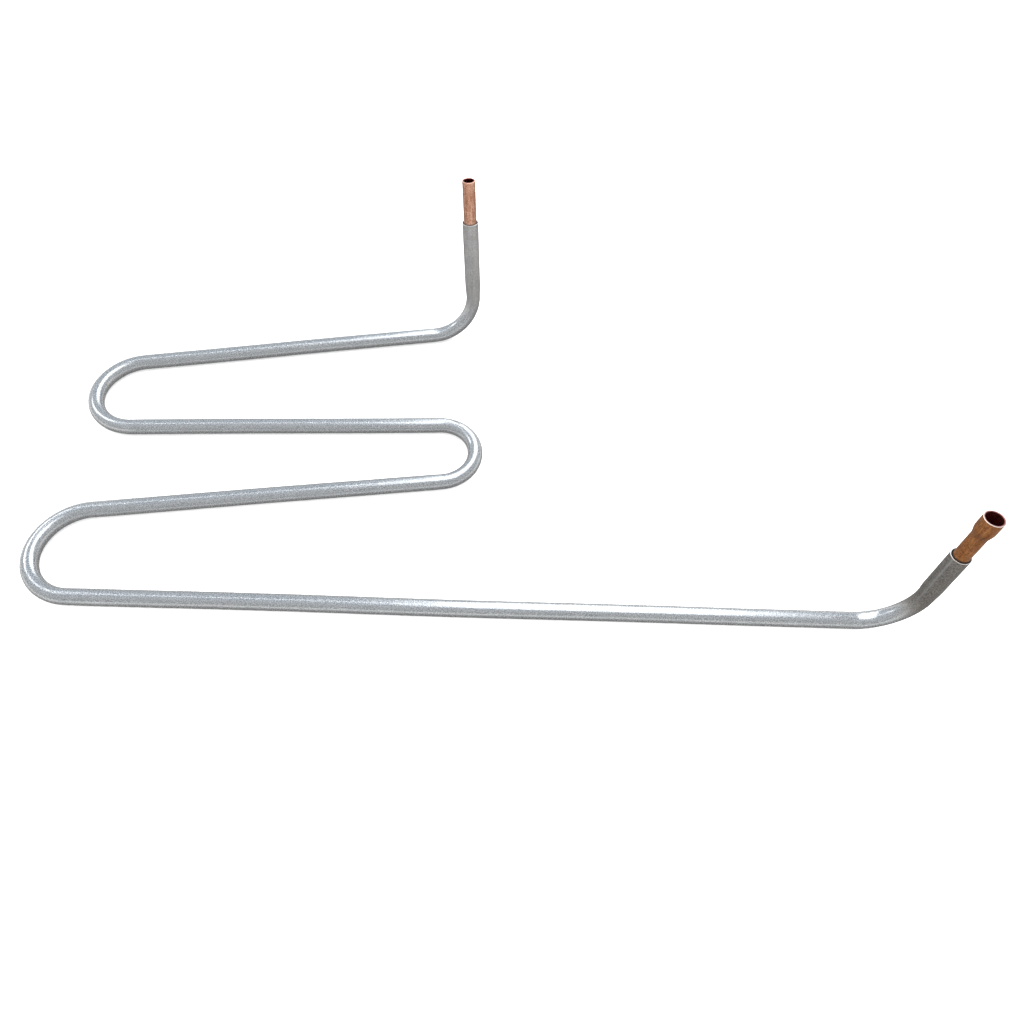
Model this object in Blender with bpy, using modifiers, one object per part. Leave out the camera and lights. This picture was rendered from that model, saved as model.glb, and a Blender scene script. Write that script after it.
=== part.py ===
"""Immersion chiller tube: a flat four-run serpentine of bare metal tube.

The tube is bent the way a tube bender makes it: straight lengths joined by U-bends that turn a
little less than half a turn, so the runs fan out slightly.  At each end an elbow turns the tube
up.  A plain copper spigot stub sits in one mouth, and a copper stub with a swaged socket sits in
the other.  A ring of filler lies in each mouth, round the copper.

Units are metres and +Z is up.  The long run lies along +X and its elbow is at the +X end.
"""

import math

import bmesh
import bpy
import numpy as np
from mathutils import Vector

MM = 0.001

# Serpentine tube
TUBE_OD = 9.52 * MM             # 3/8 inch tube
TUBE_WALL = 0.50 * MM
RUN_1 = 192.0 * MM              # straight lengths between the bends
RUN_2 = 192.0 * MM
RUN_3 = 202.0 * MM
RUN_4 = 426.0 * MM
BEND_12 = math.radians(172.5)   # how far each U-bend turns the tube
BEND_23 = math.radians(175.0)
BEND_34 = math.radians(172.0)
WIDE_BEND_R = 28.0 * MM         # centreline radii
TIGHT_BEND_R = 22.0 * MM
ELBOW_R = 28.0 * MM
SPIGOT_LEG = 50.8 * MM          # straight length above each elbow
SOCKET_LEG = 35.5 * MM
SPIGOT_LEG_LEAN = math.radians(10.0)    # the legs lean back, towards +Y
SOCKET_LEG_LEAN = math.radians(5.0)
MOUTH_OD = 10.10 * MM           # each leg's end is opened out to take the copper
SPIGOT_MOUTH_LENGTH = 43.0 * MM
SOCKET_MOUTH_LENGTH = 28.0 * MM
MOUTH_TAPER = 7.0 * MM

# Copper stubs, measured along the leg from the tube's mouth
COPPER_OD = 8.00 * MM
COPPER_WALL = 0.85 * MM
COPPER_DEPTH = 14.0 * MM        # how far the copper goes into the tube
SPIGOT_LENGTH = 25.8 * MM
SOCKET_OD = 10.00 * MM
SOCKET_START = 16.0 * MM
SOCKET_FULL = 22.0 * MM
SOCKET_LENGTH = 29.5 * MM
EDGE_BREAK = 0.15 * MM

# Filler rings
RING_CLEARANCE = 0.12 * MM
RING_TOP = -1.2 * MM
RING_BOTTOM = -6.0 * MM

# Mesh fineness
U_BEND_STEPS = 16
ELBOW_STEPS = 9
TUBE_BEVEL_RESOLUTION = 8
TURNED_STEPS = 24

UP = Vector((0.0, 0.0, 1.0))


def clear_scene():
    for obj in list(bpy.data.objects):
        bpy.data.objects.remove(obj, do_unlink=True)


def make_collection(name):
    collection = bpy.data.collections.new(name)
    bpy.context.scene.collection.children.link(collection)
    return collection


def make_material(name, colour, roughness, metallic):
    material = bpy.data.materials.new(name)
    material.use_nodes = True
    shader = material.node_tree.nodes["Principled BSDF"]
    shader.inputs["Base Color"].default_value = (*colour, 1.0)
    shader.inputs["Roughness"].default_value = roughness
    shader.inputs["Metallic"].default_value = metallic
    return material


def heading(angle):
    """Horizontal unit vector at an angle from +X, counter-clockwise seen from above."""
    return Vector((math.cos(angle), math.sin(angle), 0.0))


def arc(start, direction, towards, radius, angle, steps):
    """Points after start along an arc that leaves along direction and curves towards a side."""
    points = []
    for step in range(1, steps + 1):
        turn = angle * step / steps
        points.append(start + radius * (math.sin(turn) * direction + (1 - math.cos(turn)) * towards))
    return points


def leg_axis(run_direction, lean):
    """Direction of a leg square to its run, leaning back from upright."""
    back = UP.cross(run_direction)
    if back.y < 0:
        back = -back
    return (math.cos(lean) * UP + math.sin(lean) * back).normalized()


def leg_points(run_end, outward, axis, length, mouth_length):
    """The elbow from the end of a run and the leg above it, with the taper into the mouth."""
    points = arc(run_end, outward, axis, ELBOW_R, math.pi / 2, ELBOW_STEPS)
    top = points[-1]
    for distance in (length - mouth_length - MOUTH_TAPER, length - mouth_length, length):
        points.append(top + axis * distance)
    return points


def serpentine_route():
    """Centreline points from the spigot mouth to the socket mouth, and the two leg axes."""
    heading_3 = math.pi + (math.pi - BEND_34)       # run 3 leads into run 4, which heads +X
    heading_2 = heading_3 + BEND_23
    heading_1 = heading_2 - BEND_12
    position = Vector((0.0, 0.0, TUBE_OD / 2))
    first_run = heading(heading_1)
    spigot_axis = leg_axis(first_run, SPIGOT_LEG_LEAN)
    spigot_leg = leg_points(position, -first_run, spigot_axis, SPIGOT_LEG, SPIGOT_MOUTH_LENGTH)
    points = list(reversed(spigot_leg)) + [position]

    bends = ((RUN_1, heading_1, BEND_12, WIDE_BEND_R),
             (RUN_2, heading_2, -BEND_23, TIGHT_BEND_R),
             (RUN_3, heading_3, BEND_34, WIDE_BEND_R))
    for length, angle, turn, radius in bends:
        direction = heading(angle)
        side = heading(angle + math.copysign(math.pi / 2, turn))
        position = position + direction * length
        points.append(position)
        points += arc(position, direction, side, radius, abs(turn), U_BEND_STEPS)
        position = points[-1]

    position = position + heading(0.0) * RUN_4
    points.append(position)
    socket_axis = leg_axis(heading(0.0), SOCKET_LEG_LEAN)
    points += leg_points(position, heading(0.0), socket_axis, SOCKET_LEG, SOCKET_MOUTH_LENGTH)
    return points, spigot_axis, socket_axis


def outward_facing(mesh):
    bm = bmesh.new()
    bm.from_mesh(mesh)
    bmesh.ops.remove_doubles(bm, verts=bm.verts, dist=0.00001)
    bmesh.ops.recalc_face_normals(bm, faces=bm.faces)
    bm.to_mesh(mesh)
    bm.free()


def smooth(mesh):
    for polygon in mesh.polygons:
        polygon.use_smooth = True
    mesh.set_sharp_from_angle(angle=math.radians(35))


def swept_tube(name, points, collection, material):
    """Hollow tube of TUBE_OD along the points, opened out to MOUTH_OD at both ends."""
    curve = bpy.data.curves.new(name + "_route", "CURVE")
    curve.dimensions = "3D"
    curve.bevel_depth = TUBE_OD / 2
    curve.bevel_resolution = TUBE_BEVEL_RESOLUTION
    curve.render_resolution_u = 0
    spline = curve.splines.new("POLY")
    spline.points.add(len(points) - 1)
    for spline_point, point in zip(spline.points, points):
        spline_point.co = (*point, 1.0)
    for index in (0, 1, -2, -1):
        spline.points[index].radius = MOUTH_OD / TUBE_OD

    route = bpy.data.objects.new(name + "_route", curve)
    collection.objects.link(route)
    bpy.context.view_layer.update()
    evaluated = route.evaluated_get(bpy.context.evaluated_depsgraph_get())
    mesh = bpy.data.meshes.new_from_object(evaluated)
    mesh.name = name
    bpy.data.objects.remove(route)

    outward_facing(mesh)
    smooth(mesh)
    mesh.materials.clear()
    mesh.materials.append(material)
    tube = bpy.data.objects.new(name, mesh)
    collection.objects.link(tube)
    wall = tube.modifiers.new("Wall", "SOLIDIFY")
    wall.thickness = TUBE_WALL
    wall.offset = -1.0
    wall.use_even_offset = True
    return tube


def turned(name, profile, collection, material):
    """Closed ring-shaped body turned about Z from a closed (radius, height) outline."""
    mesh = bpy.data.meshes.new(name)
    vertices = [(radius, 0.0, height) for radius, height in profile]
    edges = [(i, (i + 1) % len(profile)) for i in range(len(profile))]
    mesh.from_pydata(vertices, edges, [])
    mesh.materials.append(material)
    obj = bpy.data.objects.new(name, mesh)
    collection.objects.link(obj)
    screw = obj.modifiers.new("Turn", "SCREW")
    screw.axis = "Z"
    screw.steps = TURNED_STEPS
    screw.render_steps = TURNED_STEPS
    screw.use_merge_vertices = True
    screw.merge_threshold = 0.00001
    screw.use_smooth_shade = True
    return obj


def spigot_profile():
    outer = COPPER_OD / 2
    inner = outer - COPPER_WALL
    return [(inner, SPIGOT_LENGTH), (outer - EDGE_BREAK, SPIGOT_LENGTH),
            (outer, SPIGOT_LENGTH - EDGE_BREAK), (outer, -COPPER_DEPTH), (inner, -COPPER_DEPTH)]


def swage_radii(start_radius, end_radius, steps=6):
    """Radius and height along the S-shaped flare between the neck and the socket."""
    flare = []
    for t in np.linspace(0.0, 1.0, steps + 1):
        blend = (1 - math.cos(math.pi * t)) / 2
        flare.append((start_radius + blend * (end_radius - start_radius),
                      SOCKET_START + t * (SOCKET_FULL - SOCKET_START)))
    return flare


def socket_profile():
    neck, bell = COPPER_OD / 2, SOCKET_OD / 2
    outer = [(bell - EDGE_BREAK, SOCKET_LENGTH), (bell, SOCKET_LENGTH - EDGE_BREAK)]
    outer += list(reversed(swage_radii(neck, bell))) + [(neck, -COPPER_DEPTH)]
    inner = [(neck - COPPER_WALL, -COPPER_DEPTH)]
    inner += swage_radii(neck - COPPER_WALL, bell - COPPER_WALL)
    inner += [(bell - COPPER_WALL, SOCKET_LENGTH)]
    return outer + inner


def ring_profile():
    outer = MOUTH_OD / 2 - TUBE_WALL - RING_CLEARANCE
    inner = COPPER_OD / 2 + RING_CLEARANCE
    return [(inner, RING_TOP), (outer, RING_TOP), (outer, RING_BOTTOM), (inner, RING_BOTTOM)]


def stand_on_leg(obj, mouth, axis):
    obj.location = mouth
    obj.rotation_euler = axis.to_track_quat("Z", "Y").to_euler()


def centre_over_origin(tube, objects):
    """Move the pieces so the whole part stands on z = 0, centred on the Z axis."""
    bpy.context.view_layer.update()
    depsgraph = bpy.context.evaluated_depsgraph_get()
    corners = []
    for obj in objects:
        evaluated = obj.evaluated_get(depsgraph)
        mesh = evaluated.to_mesh()
        corners += [evaluated.matrix_world @ vertex.co for vertex in mesh.vertices]
        evaluated.to_mesh_clear()
    corners = np.array(corners)
    low, high = corners.min(axis=0), corners.max(axis=0)
    shift = Vector((-(low[0] + high[0]) / 2, -(low[1] + high[1]) / 2, -low[2]))
    tube.location += shift


def build():
    clear_scene()
    parts = make_collection("immersion_chiller_tube")
    tube_metal = make_material("bare_aluminium", (0.62, 0.64, 0.67), 0.38, 1.0)
    copper = make_material("copper", (0.72, 0.40, 0.26), 0.40, 1.0)
    filler = make_material("joint_filler", (0.05, 0.045, 0.04), 0.60, 0.6)

    points, spigot_axis, socket_axis = serpentine_route()
    tube = swept_tube("serpentine_tube", points, parts, tube_metal)
    spigot = turned("spigot_stub", spigot_profile(), parts, copper)
    spigot_ring = turned("spigot_joint_ring", ring_profile(), parts, filler)
    socket = turned("socket_stub", socket_profile(), parts, copper)
    socket_ring = turned("socket_joint_ring", ring_profile(), parts, filler)
    for obj in (spigot, spigot_ring):
        stand_on_leg(obj, points[0], spigot_axis)
    for obj in (socket, socket_ring):
        stand_on_leg(obj, points[-1], socket_axis)
    for obj in (spigot, spigot_ring, socket, socket_ring):
        obj.parent = tube
    centre_over_origin(tube, (tube, spigot, spigot_ring, socket, socket_ring))


build()
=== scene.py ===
"""Visual model of the immersion chiller tube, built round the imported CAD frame.

The tube is laid out from the same bend data as the CAD: straight lengths, bend angles and radii.
Every visible piece stands for one CAD node and rides on the one body.
"""

import math

import bpy
import numpy as np
from mathutils import Matrix, Vector, noise

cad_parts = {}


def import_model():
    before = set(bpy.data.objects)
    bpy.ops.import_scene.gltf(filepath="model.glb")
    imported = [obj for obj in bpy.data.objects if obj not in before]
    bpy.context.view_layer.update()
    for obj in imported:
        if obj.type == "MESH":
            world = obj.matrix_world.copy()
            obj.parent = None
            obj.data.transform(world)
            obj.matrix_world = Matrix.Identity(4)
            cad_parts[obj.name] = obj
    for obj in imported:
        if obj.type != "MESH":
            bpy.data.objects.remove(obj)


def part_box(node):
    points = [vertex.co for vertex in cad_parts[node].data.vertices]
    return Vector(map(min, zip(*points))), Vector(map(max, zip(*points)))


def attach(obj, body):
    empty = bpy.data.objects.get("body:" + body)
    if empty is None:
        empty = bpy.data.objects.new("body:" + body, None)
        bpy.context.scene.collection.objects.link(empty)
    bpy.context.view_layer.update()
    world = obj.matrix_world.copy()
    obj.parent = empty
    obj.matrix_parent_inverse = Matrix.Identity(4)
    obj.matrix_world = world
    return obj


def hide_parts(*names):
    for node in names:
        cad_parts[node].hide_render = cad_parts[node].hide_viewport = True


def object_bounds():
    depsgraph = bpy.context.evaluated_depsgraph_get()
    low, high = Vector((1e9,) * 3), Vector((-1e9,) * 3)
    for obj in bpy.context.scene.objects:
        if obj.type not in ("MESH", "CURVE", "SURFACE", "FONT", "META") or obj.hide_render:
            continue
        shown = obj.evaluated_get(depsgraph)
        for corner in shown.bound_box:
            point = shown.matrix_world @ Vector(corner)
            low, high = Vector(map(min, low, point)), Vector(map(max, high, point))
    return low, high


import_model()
CAD_LOW, CAD_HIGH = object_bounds()

MM = 0.001
UP = np.array((0.0, 0.0, 1.0))

# Tube, as in the CAD
TUBE_R = 4.76 * MM
TUBE_WALL = 0.50 * MM
MOUTH_R = 5.05 * MM
SPIGOT_MOUTH_LENGTH = 43.0 * MM
SOCKET_MOUTH_LENGTH = 28.0 * MM
MOUTH_TAPER = 7.0 * MM
RUNS = (192.0 * MM, 192.0 * MM, 202.0 * MM, 426.0 * MM)
BENDS = ((math.radians(172.5), 28.0 * MM), (math.radians(-175.0), 22.0 * MM),
         (math.radians(172.0), 28.0 * MM))
ELBOW_R = 28.0 * MM
SPIGOT_LEG = (50.8 * MM, math.radians(10.0))    # straight length and lean
SOCKET_LEG = (35.5 * MM, math.radians(5.0))

# Copper stubs, heights measured from the tube's mouth
COPPER_R = 4.0 * MM
COPPER_WALL = 0.85 * MM
COPPER_DEPTH = 14.0 * MM
SPIGOT_TOP = 25.8 * MM
SOCKET_R = 5.0 * MM
SOCKET_START = 16.0 * MM
SOCKET_FULL = 22.0 * MM
SOCKET_TOP = 29.5 * MM
BORE_DEPTH = 0.6                # share of the wall beyond which the copper has its bore's tone
RIM_DEPTH = (0.14 * MM, 0.03 * MM)      # the bright cut rim starts and is full this far down

# Filler rings
RING_IN_TUBE = 0.06 * MM        # gap to the tube
RING_ON_COPPER = 0.05 * MM      # gap to the copper
RING_BOTTOM = -6.0 * MM

# Edge of a tube mouth, from its inner corner to its outer one: depth in from the outside, drop
MOUTH_EDGE = ((0.36 * MM, 0.05 * MM), (0.32 * MM, 0.0), (0.10 * MM, 0.0), (0.03 * MM, 0.04 * MM),
              (0.0, 0.12 * MM))
MOUTH_INSIDE = ((0.40 * MM, 0.35 * MM), (0.50 * MM, 0.9 * MM))
MOUTH_FIRST_STEP = 0.3 * MM     # the outside's first ring is this far from the cut edge
BORE_FINE_STATIONS = 12         # the bore keeps every station this near a mouth

# Unevenness of the tube
BEND_FLATTENING = 0.030         # share of the radius lost across a bend
BEND_CREASE = 0.008             # further share lost on a bend's inner side
BEND_BLUR = 5 * MM              # the flattening fades in and out over this length
WANDER = 0.14 * MM              # sideways waviness of the runs
STEADY_END = 80 * MM            # the waviness starts this far from a mouth
EDGE_UNEVENNESS = 0.3           # share of the surface ripple at a cut edge

# The painted shade of the legs (a darker colour standing in for the darker surroundings the
# upright legs reflect, plus a duller finish): how far it reaches past each leg, and the length it
# fades over
SPIGOT_SHADE_REACH = (12 * MM, 22 * MM)
SOCKET_SHADE_REACH = (15 * MM, 18 * MM)

# Sides of the legs where a painted highlight streak shows, and how narrow it is
SPIGOT_HIGHLIGHT_SIDE = np.array((0.64, -0.77, 0.0))
SOCKET_HIGHLIGHT_SIDE = np.array((-0.92, -0.39, 0.0))
HIGHLIGHT_SPREAD = 0.009

# Mesh fineness
STEP_STRAIGHT = 3.0 * MM
STEP_LEG = 1.5 * MM
STEP_BEND = 1.1 * MM
TUBE_SIDES = 56
STUB_SIDES = 72

# Surroundings seen in the metal: brightness by how far a direction points along another one
SKY_TOWARDS = (0.0, 0.42, 0.62)
SKY_ABOVE = ((0.0, (0.66, 0.65, 0.64)), (0.28, (0.72, 0.73, 0.74)), (0.75, (0.70, 0.735, 0.775)))
SKY_BELOW = ((0.0, (1.25, 1.23, 1.20)), (0.22, (0.95, 0.93, 0.90)), (0.48, (0.52, 0.505, 0.49)),
             (0.95, (0.34, 0.33, 0.32)))
HORIZON_SHARPNESS = 20.0

# Area lights: name, place, target, width, length, power
AREA_LIGHTS = (
    ("softbox", (0.21, 0.42, 0.78), (0.21, 0.0, 0.0), 0.66, 1.75, 6.6),
    ("side_box", (-0.83, 0.32, 0.62), (-0.24, -0.09, 0.0), 0.24, 0.24, 0.65),
    ("strip", (-0.55, 0.15, 1.0), (-0.55, 0.0, 0.0), 1.0, 0.024, 0.46),
)
FLOOR_HALF_WIDTH = 3.0
FLOOR_GAP = 0.2 * MM
FLOOR_COLOUR = (0.86, 0.86, 0.86, 1.0)
FILL_STRENGTH = 4.6
FILL_ANGLE = math.radians(110)

# Camera, aimed at a point that is given in tube diameters from the right end of run 1, back along
# the run and across it
CAMERA_AZIMUTH = math.radians(-1.758)
CAMERA_ELEVATION = math.radians(56.976)
CAMERA_ROLL = math.radians(3.350)
CAMERA_DISTANCE = 435.6 * MM
CAMERA_LENS = 25.946
CAMERA_AIM = (3.063, -16.018)


# ---------------------------------------------------------------- route of the tube

def unit(vector):
    return vector / np.linalg.norm(vector)


def heading(angle):
    return np.array((math.cos(angle), math.sin(angle), 0.0))


class Route:
    """Stations along the tube's centreline: place, direction and the side a bend turns to."""

    def __init__(self, start, direction):
        self.places = [start]
        self.directions = [direction]
        self.sides = [np.zeros(3)]

    def _add(self, place, direction, side):
        self.places.append(place)
        self.directions.append(direction)
        self.sides.append(side)

    def straight(self, length, step=STEP_STRAIGHT):
        start, direction = self.places[-1], self.directions[-1]
        count = max(2, round(length / step))
        for i in range(1, count + 1):
            self._add(start + direction * length * i / count, direction, np.zeros(3))

    def bend(self, angle, radius, side):
        start, direction = self.places[-1], self.directions[-1]
        count = round(angle * radius / STEP_BEND)
        for i in range(1, count + 1):
            a = angle * i / count
            place = start + radius * (math.sin(a) * direction + (1 - math.cos(a)) * side)
            along = math.cos(a) * direction + math.sin(a) * side
            self._add(place, along, -math.sin(a) * direction + math.cos(a) * side)


def leg_axis(run_direction, lean):
    back = np.cross(UP, run_direction)
    if back[1] < 0:
        back = -back
    return unit(math.cos(lean) * UP + math.sin(lean) * back)


def lay_route():
    """Walks from the spigot mouth, down its leg, along the four runs and up the socket leg."""
    angles = [0.0] * 4
    for i in (2, 1, 0):
        angles[i] = angles[i + 1] - BENDS[i][0]
    first = heading(angles[0])
    spigot_axis = leg_axis(first, SPIGOT_LEG[1])
    socket_axis = leg_axis(heading(0.0), SOCKET_LEG[1])

    route = Route(np.zeros(3), -spigot_axis)
    route.straight(SPIGOT_LEG[0], STEP_LEG)
    route.bend(math.pi / 2, ELBOW_R, first)
    for i, length in enumerate(RUNS):
        route.straight(length)
        if i < len(BENDS):
            angle, radius = BENDS[i]
            side = heading(angles[i] + math.copysign(math.pi / 2, angle))
            route.bend(abs(angle), radius, side)
    route.bend(math.pi / 2, ELBOW_R, socket_axis)
    route.straight(SOCKET_LEG[0], STEP_LEG)
    return route, first, spigot_axis, socket_axis


def spigot_mouth(spigot_axis):
    """Where the CAD has the spigot leg's mouth: the stub's box is centred on the stub's axis."""
    low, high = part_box("spigot_stub")
    middle = (np.array(low) + np.array(high)) / 2
    return middle - spigot_axis * (SPIGOT_TOP - COPPER_DEPTH) / 2


# ---------------------------------------------------------------- meshes

def smooth_step(t):
    t = min(max(t, 0.0), 1.0)
    return t * t * (3 - 2 * t)


def ripple(point, size, seed):
    """Smooth noise between -1 and 1 with features of a given size."""
    return noise.noise(Vector(point) / size + Vector((seed, 2.3 * seed, -1.7 * seed)))


def make_object(name, rings, attributes, material, node):
    """Closed mesh from a loop of rings of points, with point attributes for its material."""
    count, sides = len(rings), len(rings[0])
    points = np.asarray(rings, dtype=float).reshape(-1, 3)
    faces = []
    for i in range(count):
        j = (i + 1) % count
        for k in range(sides):
            m = (k + 1) % sides
            faces.append((i * sides + k, i * sides + m, j * sides + m, j * sides + k))
    mesh = bpy.data.meshes.new(name)
    mesh.from_pydata(points.tolist(), [], faces)
    mesh.update()
    for key, values in attributes.items():
        kind = "FLOAT_VECTOR" if key == "tube_coord" else "FLOAT"
        attribute = mesh.attributes.new(key, kind, "POINT")
        data = np.asarray(values, dtype=np.float32).ravel()
        attribute.data.foreach_set("vector" if kind == "FLOAT_VECTOR" else "value", data)
    for polygon in mesh.polygons:
        polygon.use_smooth = True
    mesh.set_sharp_from_angle(angle=math.radians(40))
    mesh.materials.append(material)
    obj = bpy.data.objects.new(name, mesh)
    bpy.context.scene.collection.objects.link(obj)
    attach(obj, "root")
    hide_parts(node)
    return obj


def transported_frames(directions):
    """A side vector for each station, carried along the route without twist."""
    side = unit(np.cross(directions[0], np.array((1.0, 0.0, 0.0))))
    sides = []
    for direction in directions:
        side = unit(side - direction * np.dot(side, direction))
        sides.append(side)
    return sides


def outer_radius(from_spigot, from_socket):
    """Outer radius at its distances from the two mouths."""
    opening = max(1 - smooth_step((from_spigot - SPIGOT_MOUTH_LENGTH) / MOUTH_TAPER),
                  1 - smooth_step((from_socket - SOCKET_MOUTH_LENGTH) / MOUTH_TAPER))
    return TUBE_R + (MOUTH_R - TUBE_R) * opening


def blurred(values, stations, width):
    """Weighted mean of values over a width along the route."""
    values = np.asarray(values, dtype=float)
    result = []
    for s in stations:
        weight = np.exp(-((stations - s) / width) ** 2)
        result.append((weight[:, None] * values).sum(axis=0) / weight.sum())
    return np.array(result)


class TubeSurface:
    """Rings of points round the placed route, with the attributes of every point."""

    def __init__(self, route, offset):
        places = np.array(route.places) + offset
        steps = np.linalg.norm(np.diff(places, axis=0), axis=1)
        self.along = np.concatenate(([0.0], np.cumsum(steps)))
        self.total = self.along[-1]
        self.directions = np.array(route.directions)
        self.squeeze = blurred(route.sides, self.along, BEND_BLUR)
        self.frames = transported_frames(self.directions)
        self.places = places + self.wander()
        self.rings = []
        self.attributes = {"tube_coord": [], "leg": [], "leg_highlight": [], "rim": []}

    def wander(self):
        """Slight sideways waviness of the runs, none near the two mouths."""
        result = np.zeros_like(self.directions)
        for i, s in enumerate(self.along):
            level = abs(self.directions[i][2]) < 0.5
            across = unit(np.cross(UP, self.directions[i])) if level else np.zeros(3)
            held = smooth_step(min(s, self.total - s) / STEADY_END - 1)
            wave = math.sin(s / (31 * MM)) + 0.7 * math.sin(s / (53 * MM) + 1.3)
            result[i] = across * held * wave * WANDER
        return result

    def leg_amount(self, i):
        """Mask of the legs' painted shade and duller finish: 0 on the runs, up to 1 on the spigot
        leg and down to -1 on the socket leg.
        """
        past_spigot = self.along[i] - SPIGOT_LEG[0] - SPIGOT_SHADE_REACH[0]
        past_socket = self.total - self.along[i] - SOCKET_LEG[0] - SOCKET_SHADE_REACH[0]
        near_spigot = 1 - smooth_step(past_spigot / SPIGOT_SHADE_REACH[1] + 0.5)
        near_socket = 1 - smooth_step(past_socket / SOCKET_SHADE_REACH[1] + 0.5)
        return near_spigot - near_socket

    def surface_radius(self, i, radius, out, unevenness):
        """Radius towards one side, flattened in the bends and rippled everywhere."""
        strength = np.linalg.norm(self.squeeze[i])
        inward = self.squeeze[i] / strength if strength > 1e-6 else self.frames[i]
        toward = float(np.dot(out, inward))
        lost = BEND_FLATTENING * toward ** 2 + BEND_CREASE * max(toward, 0.0) ** 4
        spot = self.places[i] + out * radius
        bumps = 0.035 * ripple(spot, 11 * MM, 3.1) + 0.018 * ripple(spot, 4 * MM, 7.7) - 0.03
        return radius * (1 - strength * lost) + bumps * unevenness * MM

    def add_ring(self, i, radius, shift=0.0, unevenness=1.0):
        """One ring round station i, moved by shift along the tube."""
        direction, across = self.directions[i], self.frames[i]
        other = np.cross(direction, across)
        amount = self.leg_amount(i)
        highlight_side = SPIGOT_HIGHLIGHT_SIDE if amount > 0 else SOCKET_HIGHLIGHT_SIDE
        points = []
        for a in np.linspace(0, 2 * math.pi, TUBE_SIDES, endpoint=False):
            out = math.cos(a) * across + math.sin(a) * other
            r = self.surface_radius(i, radius, out, unevenness)
            points.append(self.places[i] + out * r + direction * shift)
            coord = (self.along[i] + shift, radius * math.cos(a), radius * math.sin(a))
            # Painted highlight: a pale streak along each leg, on the side where a light's
            # reflection falls.
            off_highlight = (1 - float(np.dot(out, highlight_side))) / HIGHLIGHT_SPREAD
            self.attributes["tube_coord"].append(coord)
            self.attributes["leg"].append(amount)
            self.attributes["leg_highlight"].append(abs(amount) * math.exp(-off_highlight ** 2))
            self.attributes["rim"].append(1.0 if unevenness < 1.0 else 0.0)
        self.rings.append(points)


def build_tube(route, offset, material):
    """The bent tube: over one mouth's edge, along the outside, over the other edge, and back
    along the bore."""
    surface = TubeSurface(route, offset)
    end = len(surface.places) - 1
    outer = [outer_radius(s, surface.total - s) for s in surface.along]
    for depth, height in MOUTH_EDGE:
        surface.add_ring(0, outer[0] - depth, height, EDGE_UNEVENNESS)
    surface.add_ring(0, outer[0], MOUTH_FIRST_STEP)
    for i in range(1, end):
        surface.add_ring(i, outer[i])
    surface.add_ring(end, outer[end], -MOUTH_FIRST_STEP)
    for depth, height in reversed(MOUTH_EDGE):
        surface.add_ring(end, outer[end] - depth, -height, EDGE_UNEVENNESS)
    for depth, height in MOUTH_INSIDE:
        surface.add_ring(end, outer[end] - depth, -height)
    for i in range(end - 1, 0, -1):
        near_mouth = i < BORE_FINE_STATIONS or i > end - BORE_FINE_STATIONS
        if i % 2 == 0 or near_mouth:
            surface.add_ring(i, outer[i] - TUBE_WALL)
    for depth, height in reversed(MOUTH_INSIDE):
        surface.add_ring(0, outer[0] - depth, height)
    return make_object("bent_tube", surface.rings, surface.attributes, material,
                       "serpentine_tube")


def rounded(profile, size=0.0001, steps=3):
    """Outline with its marked corners rounded. Items are (radius, height, round or not)."""
    result = []
    count = len(profile)
    for i, (r, z, soft) in enumerate(profile):
        here = np.array((r, z))
        if not soft:
            result.append(here)
            continue
        before = np.array(profile[i - 1][:2])
        after = np.array(profile[(i + 1) % count][:2])
        start = here + unit(before - here) * size
        stop = here + unit(after - here) * size
        for k in range(steps + 1):
            t = k / steps
            result.append((1 - t) ** 2 * start + 2 * t * (1 - t) * here + t * t * stop)
    return result


def not_in_bore(radius, height):
    return 0.0


def in_spigot_bore(radius, height):
    """1 for a point of the spigot's outline that is nearer its bore than its outside."""
    return float(radius < COPPER_R - BORE_DEPTH * COPPER_WALL)


def in_socket_bore(radius, height):
    flare = smooth_step((height - SOCKET_START) / (SOCKET_FULL - SOCKET_START))
    outside = COPPER_R + flare * (SOCKET_R - COPPER_R)
    return float(radius < outside - BORE_DEPTH * COPPER_WALL)


def build_turned(name, profile, mouth, axis, material, node, uneven, seed,
                 in_bore=not_in_bore):
    """Ring-shaped body turned about a leg's axis from a closed outline."""
    across = unit(np.cross(axis, np.array((0.0, 1.0, 0.0))))
    other = np.cross(axis, across)
    rings = []
    attributes = {"tube_coord": [], "height": [], "bore": []}
    for r, z in profile:
        points, coords = [], []
        for a in np.linspace(0, 2 * math.pi, STUB_SIDES, endpoint=False):
            out = math.cos(a) * across + math.sin(a) * other
            spot = mouth + out * r + axis * z
            bumps = ripple(spot, 5 * MM, seed) + 0.4 * ripple(spot, 1.8 * MM, seed)
            points.append(spot + out * uneven * bumps)
            coords.append((z, r * math.cos(a), r * math.sin(a)))
        rings.append(points)
        attributes["tube_coord"].extend(coords)
        attributes["height"].extend([z] * STUB_SIDES)
        attributes["bore"].extend([in_bore(r, z)] * STUB_SIDES)
    return make_object(name, rings, attributes, material, node)


def dense_outline(points, step=0.6 * MM):
    """The same closed outline with extra points on its long edges."""
    result = []
    for i, start in enumerate(points):
        stop = points[(i + 1) % len(points)]
        count = max(1, int(np.linalg.norm(np.array(stop) - np.array(start)) / step))
        for k in range(count):
            result.append(np.array(start) + (np.array(stop) - np.array(start)) * k / count)
    return result


def swage(start_radius, end_radius, steps=10):
    flare = []
    for k in range(steps + 1):
        t = k / steps
        blend = (1 - math.cos(math.pi * t)) / 2
        flare.append((start_radius + blend * (end_radius - start_radius),
                      SOCKET_START + t * (SOCKET_FULL - SOCKET_START), False))
    return flare


def spigot_outline():
    inner = COPPER_R - COPPER_WALL
    corners = [(inner, SPIGOT_TOP, True), (COPPER_R, SPIGOT_TOP, True),
               (COPPER_R, -COPPER_DEPTH, False), (inner, -COPPER_DEPTH, False)]
    return dense_outline(rounded(corners, 0.18 * MM))


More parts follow.
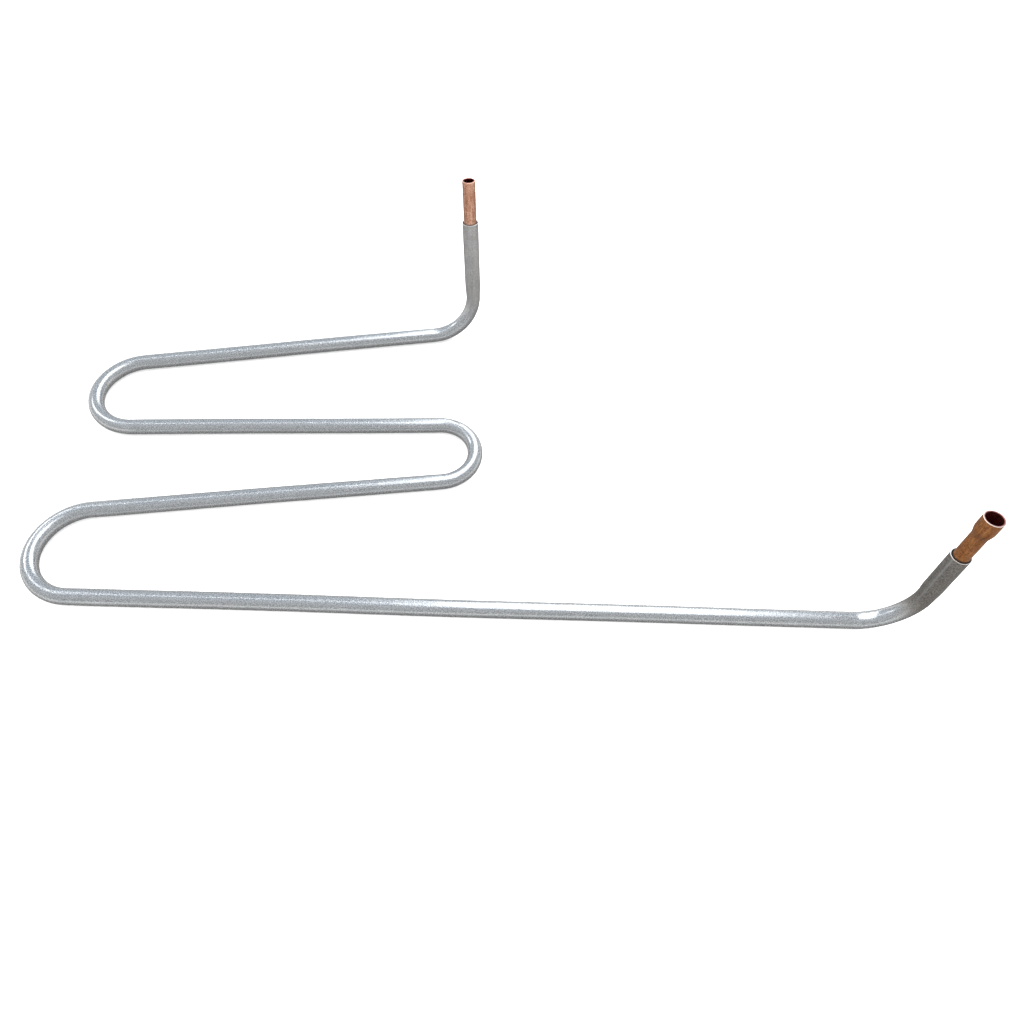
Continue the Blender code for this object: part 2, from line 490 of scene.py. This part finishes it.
def socket_outline():
    inner = COPPER_R - COPPER_WALL
    outside = [(SOCKET_R, SOCKET_TOP, True)] + list(reversed(swage(COPPER_R, SOCKET_R)))
    outside += [(COPPER_R, -COPPER_DEPTH, False), (inner, -COPPER_DEPTH, False)]
    inside = swage(inner, SOCKET_R - COPPER_WALL) + [(SOCKET_R - COPPER_WALL, SOCKET_TOP, True)]
    return dense_outline(rounded(outside + inside, 0.2 * MM))


def ring_outline():
    """The filler: low at the tube, with a small fillet that climbs the copper."""
    outer = MOUTH_R - TUBE_WALL - RING_IN_TUBE
    inner = COPPER_R + RING_ON_COPPER
    corners = [(inner, 0.35 * MM, True), (inner + 0.16 * MM, 0.05 * MM, True),
               (outer, -0.75 * MM, True), (outer, RING_BOTTOM, False),
               (inner, RING_BOTTOM, False)]
    return dense_outline(rounded(corners, 0.08 * MM), 0.4 * MM)


# ---------------------------------------------------------------- materials

class Nodes:
    """Small helper to lay out one material's nodes."""

    def __init__(self, name):
        self.material = bpy.data.materials.new(name)
        self.material.use_nodes = True
        self.tree = self.material.node_tree
        self.shader = self.tree.nodes["Principled BSDF"]

    def link(self, source, target):
        self.tree.links.new(source, target)

    def attribute(self, name, output):
        node = self.tree.nodes.new("ShaderNodeAttribute")
        node.attribute_name = name
        return node.outputs[output]

    def stretched(self, vector, scale):
        node = self.tree.nodes.new("ShaderNodeMapping")
        node.inputs["Scale"].default_value = scale
        self.link(vector, node.inputs["Vector"])
        return node.outputs["Vector"]

    def noise(self, vector, scale, detail=3.0, roughness=0.55):
        node = self.tree.nodes.new("ShaderNodeTexNoise")
        node.inputs["Scale"].default_value = scale
        node.inputs["Detail"].default_value = detail
        node.inputs["Roughness"].default_value = roughness
        self.link(vector, node.inputs["Vector"])
        return node.outputs["Fac"]

    def spread(self, value, low, high, to_low=0.0, to_high=1.0):
        node = self.tree.nodes.new("ShaderNodeMapRange")
        node.inputs["From Min"].default_value = low
        node.inputs["From Max"].default_value = high
        node.inputs["To Min"].default_value = to_low
        node.inputs["To Max"].default_value = to_high
        self.link(value, node.inputs["Value"])
        return node.outputs["Result"]

    def math(self, operation, first, second):
        node = self.tree.nodes.new("ShaderNodeMath")
        node.operation = operation
        for socket, value in zip(node.inputs, (first, second)):
            if isinstance(value, (int, float)):
                socket.default_value = value
            else:
                self.link(value, socket)
        return node.outputs["Value"]

    def mix(self, factor, first, second, blend="MIX"):
        node = self.tree.nodes.new("ShaderNodeMix")
        node.data_type = "RGBA"
        node.blend_type = blend
        for index, value in ((0, factor), (6, first), (7, second)):
            socket = node.inputs[index]
            if isinstance(value, (int, float)):
                socket.default_value = value
            elif isinstance(value, tuple):
                socket.default_value = (*value, 1.0)
            else:
                self.link(value, socket)
        return node.outputs[2]

    def bump(self, height, strength, distance, normal=None):
        node = self.tree.nodes.new("ShaderNodeBump")
        node.inputs["Strength"].default_value = strength
        node.inputs["Distance"].default_value = distance
        self.link(height, node.inputs["Height"])
        if normal is not None:
            self.link(normal, node.inputs["Normal"])
        return node.outputs["Normal"]

    def finish(self, colour, roughness, normal, metallic=1.0):
        self.link(colour, self.shader.inputs["Base Color"])
        self.link(roughness, self.shader.inputs["Roughness"])
        self.link(normal, self.shader.inputs["Normal"])
        self.shader.inputs["Metallic"].default_value = metallic
        return self.material


def leg_shade_colours(n, speckle, drawn, cloud):
    """Painted shade on the legs: a dark brownish tone on the socket leg and a lighter, streaked
    one on the spigot leg, both standing in for the darker surroundings the upright legs reflect.
    """
    socket_leg_shade = n.mix(speckle, (0.195, 0.183, 0.170), (0.40, 0.382, 0.362))
    spigot_leg_shade = n.mix(speckle, (0.37, 0.37, 0.37), (0.56, 0.563, 0.568))
    spigot_leg_shade = n.mix(n.spread(drawn, 0.40, 0.62, 0.0, 0.55), spigot_leg_shade, (0.66, 0.66, 0.66))
    spigot_leg_shade = n.mix(n.spread(cloud, 0.45, 0.65, 0.0, 0.40), spigot_leg_shade, (0.33, 0.335, 0.34))
    return socket_leg_shade, spigot_leg_shade


def tube_material():
    """Bare drawn tube: pale bluish metal with a fine speckled grain, duller on the two legs, where
    painted shade darkens the colour and a painted highlight streak runs along them.
    """
    n = Nodes("bare_tube_metal")
    coord = n.attribute("tube_coord", "Vector")
    leg = n.attribute("leg", "Fac")
    grain = n.noise(coord, 1500.0, 2.0, 0.6)
    fine = n.noise(coord, 4200.0, 2.0, 0.6)
    drawn = n.noise(n.stretched(coord, (0.03, 1.0, 1.0)), 1900.0, 3.0, 0.6)
    cloud = n.noise(coord, 130.0, 4.0, 0.6)
    dents = n.noise(n.stretched(coord, (0.45, 1.0, 1.0)), 170.0, 2.0, 0.5)
    speckle = n.spread(grain, 0.40, 0.62)
    socket_leg = n.math("MAXIMUM", n.math("MULTIPLY", leg, -1.0), 0.0)
    spigot_leg = n.math("MAXIMUM", leg, 0.0)

    colour = n.mix(speckle, (0.34, 0.37, 0.40), (0.68, 0.71, 0.74))
    colour = n.mix(n.spread(drawn, 0.35, 0.7, 0.0, 0.35), colour, (0.70, 0.715, 0.73))
    colour = n.mix(n.spread(cloud, 0.40, 0.72, 0.0, 0.35), colour, (0.45, 0.465, 0.48))
    # Painted shade: the legs' colour is darkened to stand in for the darker surroundings they
    # reflect; the added roughness further down is their duller finish.
    socket_leg_shade, spigot_leg_shade = leg_shade_colours(n, speckle, drawn, cloud)
    colour = n.mix(n.math("MULTIPLY", socket_leg, 0.92), colour, socket_leg_shade)
    colour = n.mix(n.math("MULTIPLY", spigot_leg, 0.88), colour, spigot_leg_shade)
    # Painted highlight: pale streak along the legs, placed where a reflection falls.
    leg_highlight = n.math("MULTIPLY", n.attribute("leg_highlight", "Fac"), n.spread(drawn, 0.3, 0.6, 0.15, 0.7))
    colour = n.mix(leg_highlight, colour, (0.55, 0.55, 0.55))
    colour = n.mix(n.attribute("rim", "Fac"), colour, (0.88, 0.88, 0.88))

    rough = n.math("ADD", n.spread(grain, 0.3, 0.7, 0.13, 0.27),
                   n.spread(cloud, 0.4, 0.75, 0.0, 0.10))
    legs = n.math("ADD", socket_leg, spigot_leg)
    rough = n.math("ADD", rough, n.math("MULTIPLY", legs, 0.20))
    normal = n.bump(dents, 0.22, 0.0006)
    normal = n.bump(drawn, 0.10, 0.00006, normal)
    normal = n.bump(grain, 0.30, 0.00008, normal)
    normal = n.bump(fine, 0.12, 0.00003, normal)
    return n.finish(colour, rough, normal)


def copper_material(name, light, dark, stain, stain_amount, roughness, top, rim_colour):
    """Worn copper with drawn streaks, stains, pits, a dark red bore and a bright cut rim."""
    n = Nodes(name)
    coord = n.attribute("tube_coord", "Vector")
    streaks = n.noise(n.stretched(coord, (0.10, 1.0, 1.0)), 900.0, 3.0, 0.6)
    mottle = n.noise(coord, 420.0, 4.0, 0.62)
    blotch = n.noise(coord, 170.0, 3.0, 0.55)
    pits = n.noise(coord, 1500.0, 3.0, 0.65)
    grain = n.noise(coord, 2600.0, 2.0, 0.6)

    colour = n.mix(n.spread(streaks, 0.35, 0.68), dark, light)
    colour = n.mix(n.spread(mottle, 0.42, 0.66, 0.0, 0.5), colour, light)
    colour = n.mix(n.spread(blotch, 0.46, 0.68, 0.0, stain_amount), colour, stain)
    colour = n.mix(n.spread(pits, 0.47, 0.62, 0.0, 0.72), colour, stain)
    height = n.attribute("height", "Fac")
    rim = n.spread(height, top - RIM_DEPTH[0], top - RIM_DEPTH[1])
    colour = n.mix(rim, colour, rim_colour)
    bore = n.mix(n.spread(pits, 0.4, 0.65), (0.55, 0.20, 0.17), (0.30, 0.10, 0.10))
    colour = n.mix(n.attribute("bore", "Fac"), colour, bore)

    rough = n.math("ADD", n.spread(mottle, 0.3, 0.7, roughness - 0.08, roughness + 0.1),
                   n.spread(streaks, 0.35, 0.7, 0.0, 0.06))
    normal = n.bump(streaks, 0.35, 0.00010)
    normal = n.bump(pits, 0.40, 0.00008, normal)
    normal = n.bump(grain, 0.22, 0.00004, normal)
    return n.finish(colour, rough, normal)


def filler_material(name, dark, light):
    """Dark, slightly glossy filler with a few pale flecks."""
    n = Nodes(name)
    coord = n.attribute("tube_coord", "Vector")
    lumps = n.noise(coord, 900.0, 3.0, 0.6)
    flecks = n.noise(coord, 520.0, 2.0, 0.5)
    colour = n.mix(n.spread(flecks, 0.60, 0.70), dark, light)
    rough = n.spread(lumps, 0.3, 0.7, 0.35, 0.65)
    normal = n.bump(lumps, 0.5, 0.00015)
    return n.finish(colour, rough, normal, 0.0)


# ---------------------------------------------------------------- stage, light and camera

def floor():
    """Plain pale floor just under the tube, left out of the metal's reflections."""
    half = FLOOR_HALF_WIDTH
    mesh = bpy.data.meshes.new("floor")
    mesh.from_pydata([(-half, -half, 0), (half, -half, 0), (half, half, 0), (-half, half, 0)], [],
                     [(0, 1, 2, 3)])
    obj = bpy.data.objects.new("floor", mesh)
    obj.location.z = CAD_LOW[2] - FLOOR_GAP
    obj.visible_glossy = False
    bpy.context.scene.collection.objects.link(obj)
    n = Nodes("pale_floor")
    n.shader.inputs["Base Color"].default_value = FLOOR_COLOUR
    n.shader.inputs["Roughness"].default_value = 0.9
    n.shader.inputs["Specular IOR Level"].default_value = 0.1
    mesh.materials.append(n.material)


def area_light(name, place, target, width, length, power):
    light = bpy.data.lights.new(name, "AREA")
    light.shape = "RECTANGLE"
    light.size, light.size_y = width, length
    light.energy = power
    obj = bpy.data.objects.new(name, light)
    obj.location = place
    obj.rotation_euler = (Vector(target) - Vector(place)).to_track_quat("-Z", "Y").to_euler()
    bpy.context.scene.collection.objects.link(obj)


def fill_light():
    """Very soft light from above that whitens the floor, with no shadow or reflection."""
    light = bpy.data.lights.new("fill", "SUN")
    light.energy = FILL_STRENGTH
    light.angle = FILL_ANGLE
    light.use_shadow = False
    obj = bpy.data.objects.new("fill", light)
    obj.location = (0.0, 0.0, 2.0)
    obj.visible_glossy = False
    bpy.context.scene.collection.objects.link(obj)


def sky_ramp(tree, position, direction, stops):
    """Colour that depends on how far a direction points along a given one."""
    along = tree.nodes.new("ShaderNodeVectorMath")
    along.operation = "DOT_PRODUCT"
    along.inputs[1].default_value = direction
    ramp = tree.nodes.new("ShaderNodeValToRGB")
    tree.links.new(position.outputs["Generated"], along.inputs[0])
    tree.links.new(along.outputs["Value"], ramp.inputs["Fac"])
    elements = ramp.color_ramp.elements
    for _ in stops[2:]:
        elements.new(0.5)
    for element, (place, colour) in zip(elements, stops):
        element.position = place
        element.color = (*colour, 1.0)
    return ramp.outputs["Color"]


def world():
    """Soft studio surroundings: even above the horizon, a bright band at it, dark underneath."""
    scene = bpy.context.scene
    scene.world = bpy.data.worlds.new("studio")
    scene.world.use_nodes = True
    tree = scene.world.node_tree
    background = tree.nodes["Background"]
    position = tree.nodes.new("ShaderNodeTexCoord")
    above = sky_ramp(tree, position, SKY_TOWARDS, SKY_ABOVE)
    below = sky_ramp(tree, position, (0.0, 0.0, -1.0), SKY_BELOW)
    side = tree.nodes.new("ShaderNodeVectorMath")
    side.operation = "DOT_PRODUCT"
    side.inputs[1].default_value = (0.0, 0.0, HORIZON_SHARPNESS)
    mix = tree.nodes.new("ShaderNodeMix")
    mix.data_type = "RGBA"
    tree.links.new(position.outputs["Generated"], side.inputs[0])
    tree.links.new(side.outputs["Value"], mix.inputs[0])
    tree.links.new(below, mix.inputs[6])
    tree.links.new(above, mix.inputs[7])
    tree.links.new(mix.outputs[2], background.inputs["Color"])
    background.inputs["Strength"].default_value = 1.0


def camera_target(spigot_mouth_place, spigot_axis, first_run):
    """The aimed-at point, found from the right end of run 1."""
    run_end = spigot_mouth_place - spigot_axis * (SPIGOT_LEG[0] + ELBOW_R) + first_run * ELBOW_R
    back = -first_run
    across = np.cross(UP, back)
    return run_end + (CAMERA_AIM[0] * back + CAMERA_AIM[1] * across) * 2 * TUBE_R


def camera(target):
    """Camera at the photo's angle, looking at the target."""
    cos_a, sin_a = math.cos(CAMERA_AZIMUTH), math.sin(CAMERA_AZIMUTH)
    cos_e, sin_e = math.cos(CAMERA_ELEVATION), math.sin(CAMERA_ELEVATION)
    cos_r, sin_r = math.cos(CAMERA_ROLL), math.sin(CAMERA_ROLL)
    back = Vector((sin_a * cos_e, -cos_a * cos_e, sin_e))
    right = Vector((cos_a, sin_a, 0.0))
    up = back.cross(right)
    rotation = Matrix((cos_r * right + sin_r * up, -sin_r * right + cos_r * up, back)).transposed()
    data = bpy.data.cameras.new("camera")
    data.lens, data.sensor_width = CAMERA_LENS, 36.0
    data.clip_start, data.clip_end = 0.01, 20.0
    obj = bpy.data.objects.new("camera", data)
    bpy.context.scene.collection.objects.link(obj)
    place = Vector(target) + back * CAMERA_DISTANCE
    obj.matrix_world = Matrix.Translation(place) @ rotation.to_4x4()
    bpy.context.scene.camera = obj


# ---------------------------------------------------------------- the scene

route, first_run, spigot_axis, socket_axis = lay_route()
offset = spigot_mouth(spigot_axis)
mouth_1 = np.array(route.places[0]) + offset
mouth_2 = np.array(route.places[-1]) + offset

spigot_copper = copper_material("spigot_copper", (0.97, 0.62, 0.48), (0.42, 0.18, 0.09),
                                (0.36, 0.13, 0.07), 0.30, 0.20, SPIGOT_TOP, (0.80, 0.50, 0.38))
socket_copper = copper_material("socket_copper", (0.74, 0.350, 0.140), (0.42, 0.155, 0.045),
                                (0.22, 0.090, 0.055), 0.32, 0.34, SOCKET_TOP,
                                (0.93, 0.82, 0.78))
# The near filler is near black: a dark filler that is darkened further as painted shade of the
# recessed gap round the socket stub. The far filler is the same filler without that shade.
near_filler_painted_shade = filler_material("near_filler_painted_shade", (0.012, 0.010, 0.009), (0.10, 0.09, 0.08))
far_filler = filler_material("far_filler", (0.05, 0.04, 0.035), (0.42, 0.33, 0.28))

build_tube(route, offset, tube_material())
build_turned("spigot", spigot_outline(), mouth_1, spigot_axis, spigot_copper,
             "spigot_stub", 0.02 * MM, 2.0, in_spigot_bore)
build_turned("socket", socket_outline(), mouth_2, socket_axis, socket_copper,
             "socket_stub", 0.03 * MM, 5.0, in_socket_bore)
build_turned("spigot_filler", ring_outline(), mouth_1, spigot_axis, far_filler,
             "spigot_joint_ring", 0.02 * MM, 9.0)
build_turned("socket_filler", ring_outline(), mouth_2, socket_axis, near_filler_painted_shade,
             "socket_joint_ring", 0.02 * MM, 11.0)

floor()
world()
for light in AREA_LIGHTS:
    area_light(*light)
fill_light()
camera(camera_target(mouth_1, spigot_axis, first_run))

bpy.context.scene.view_settings.view_transform = "Standard"

bpy.context.view_layer.update()
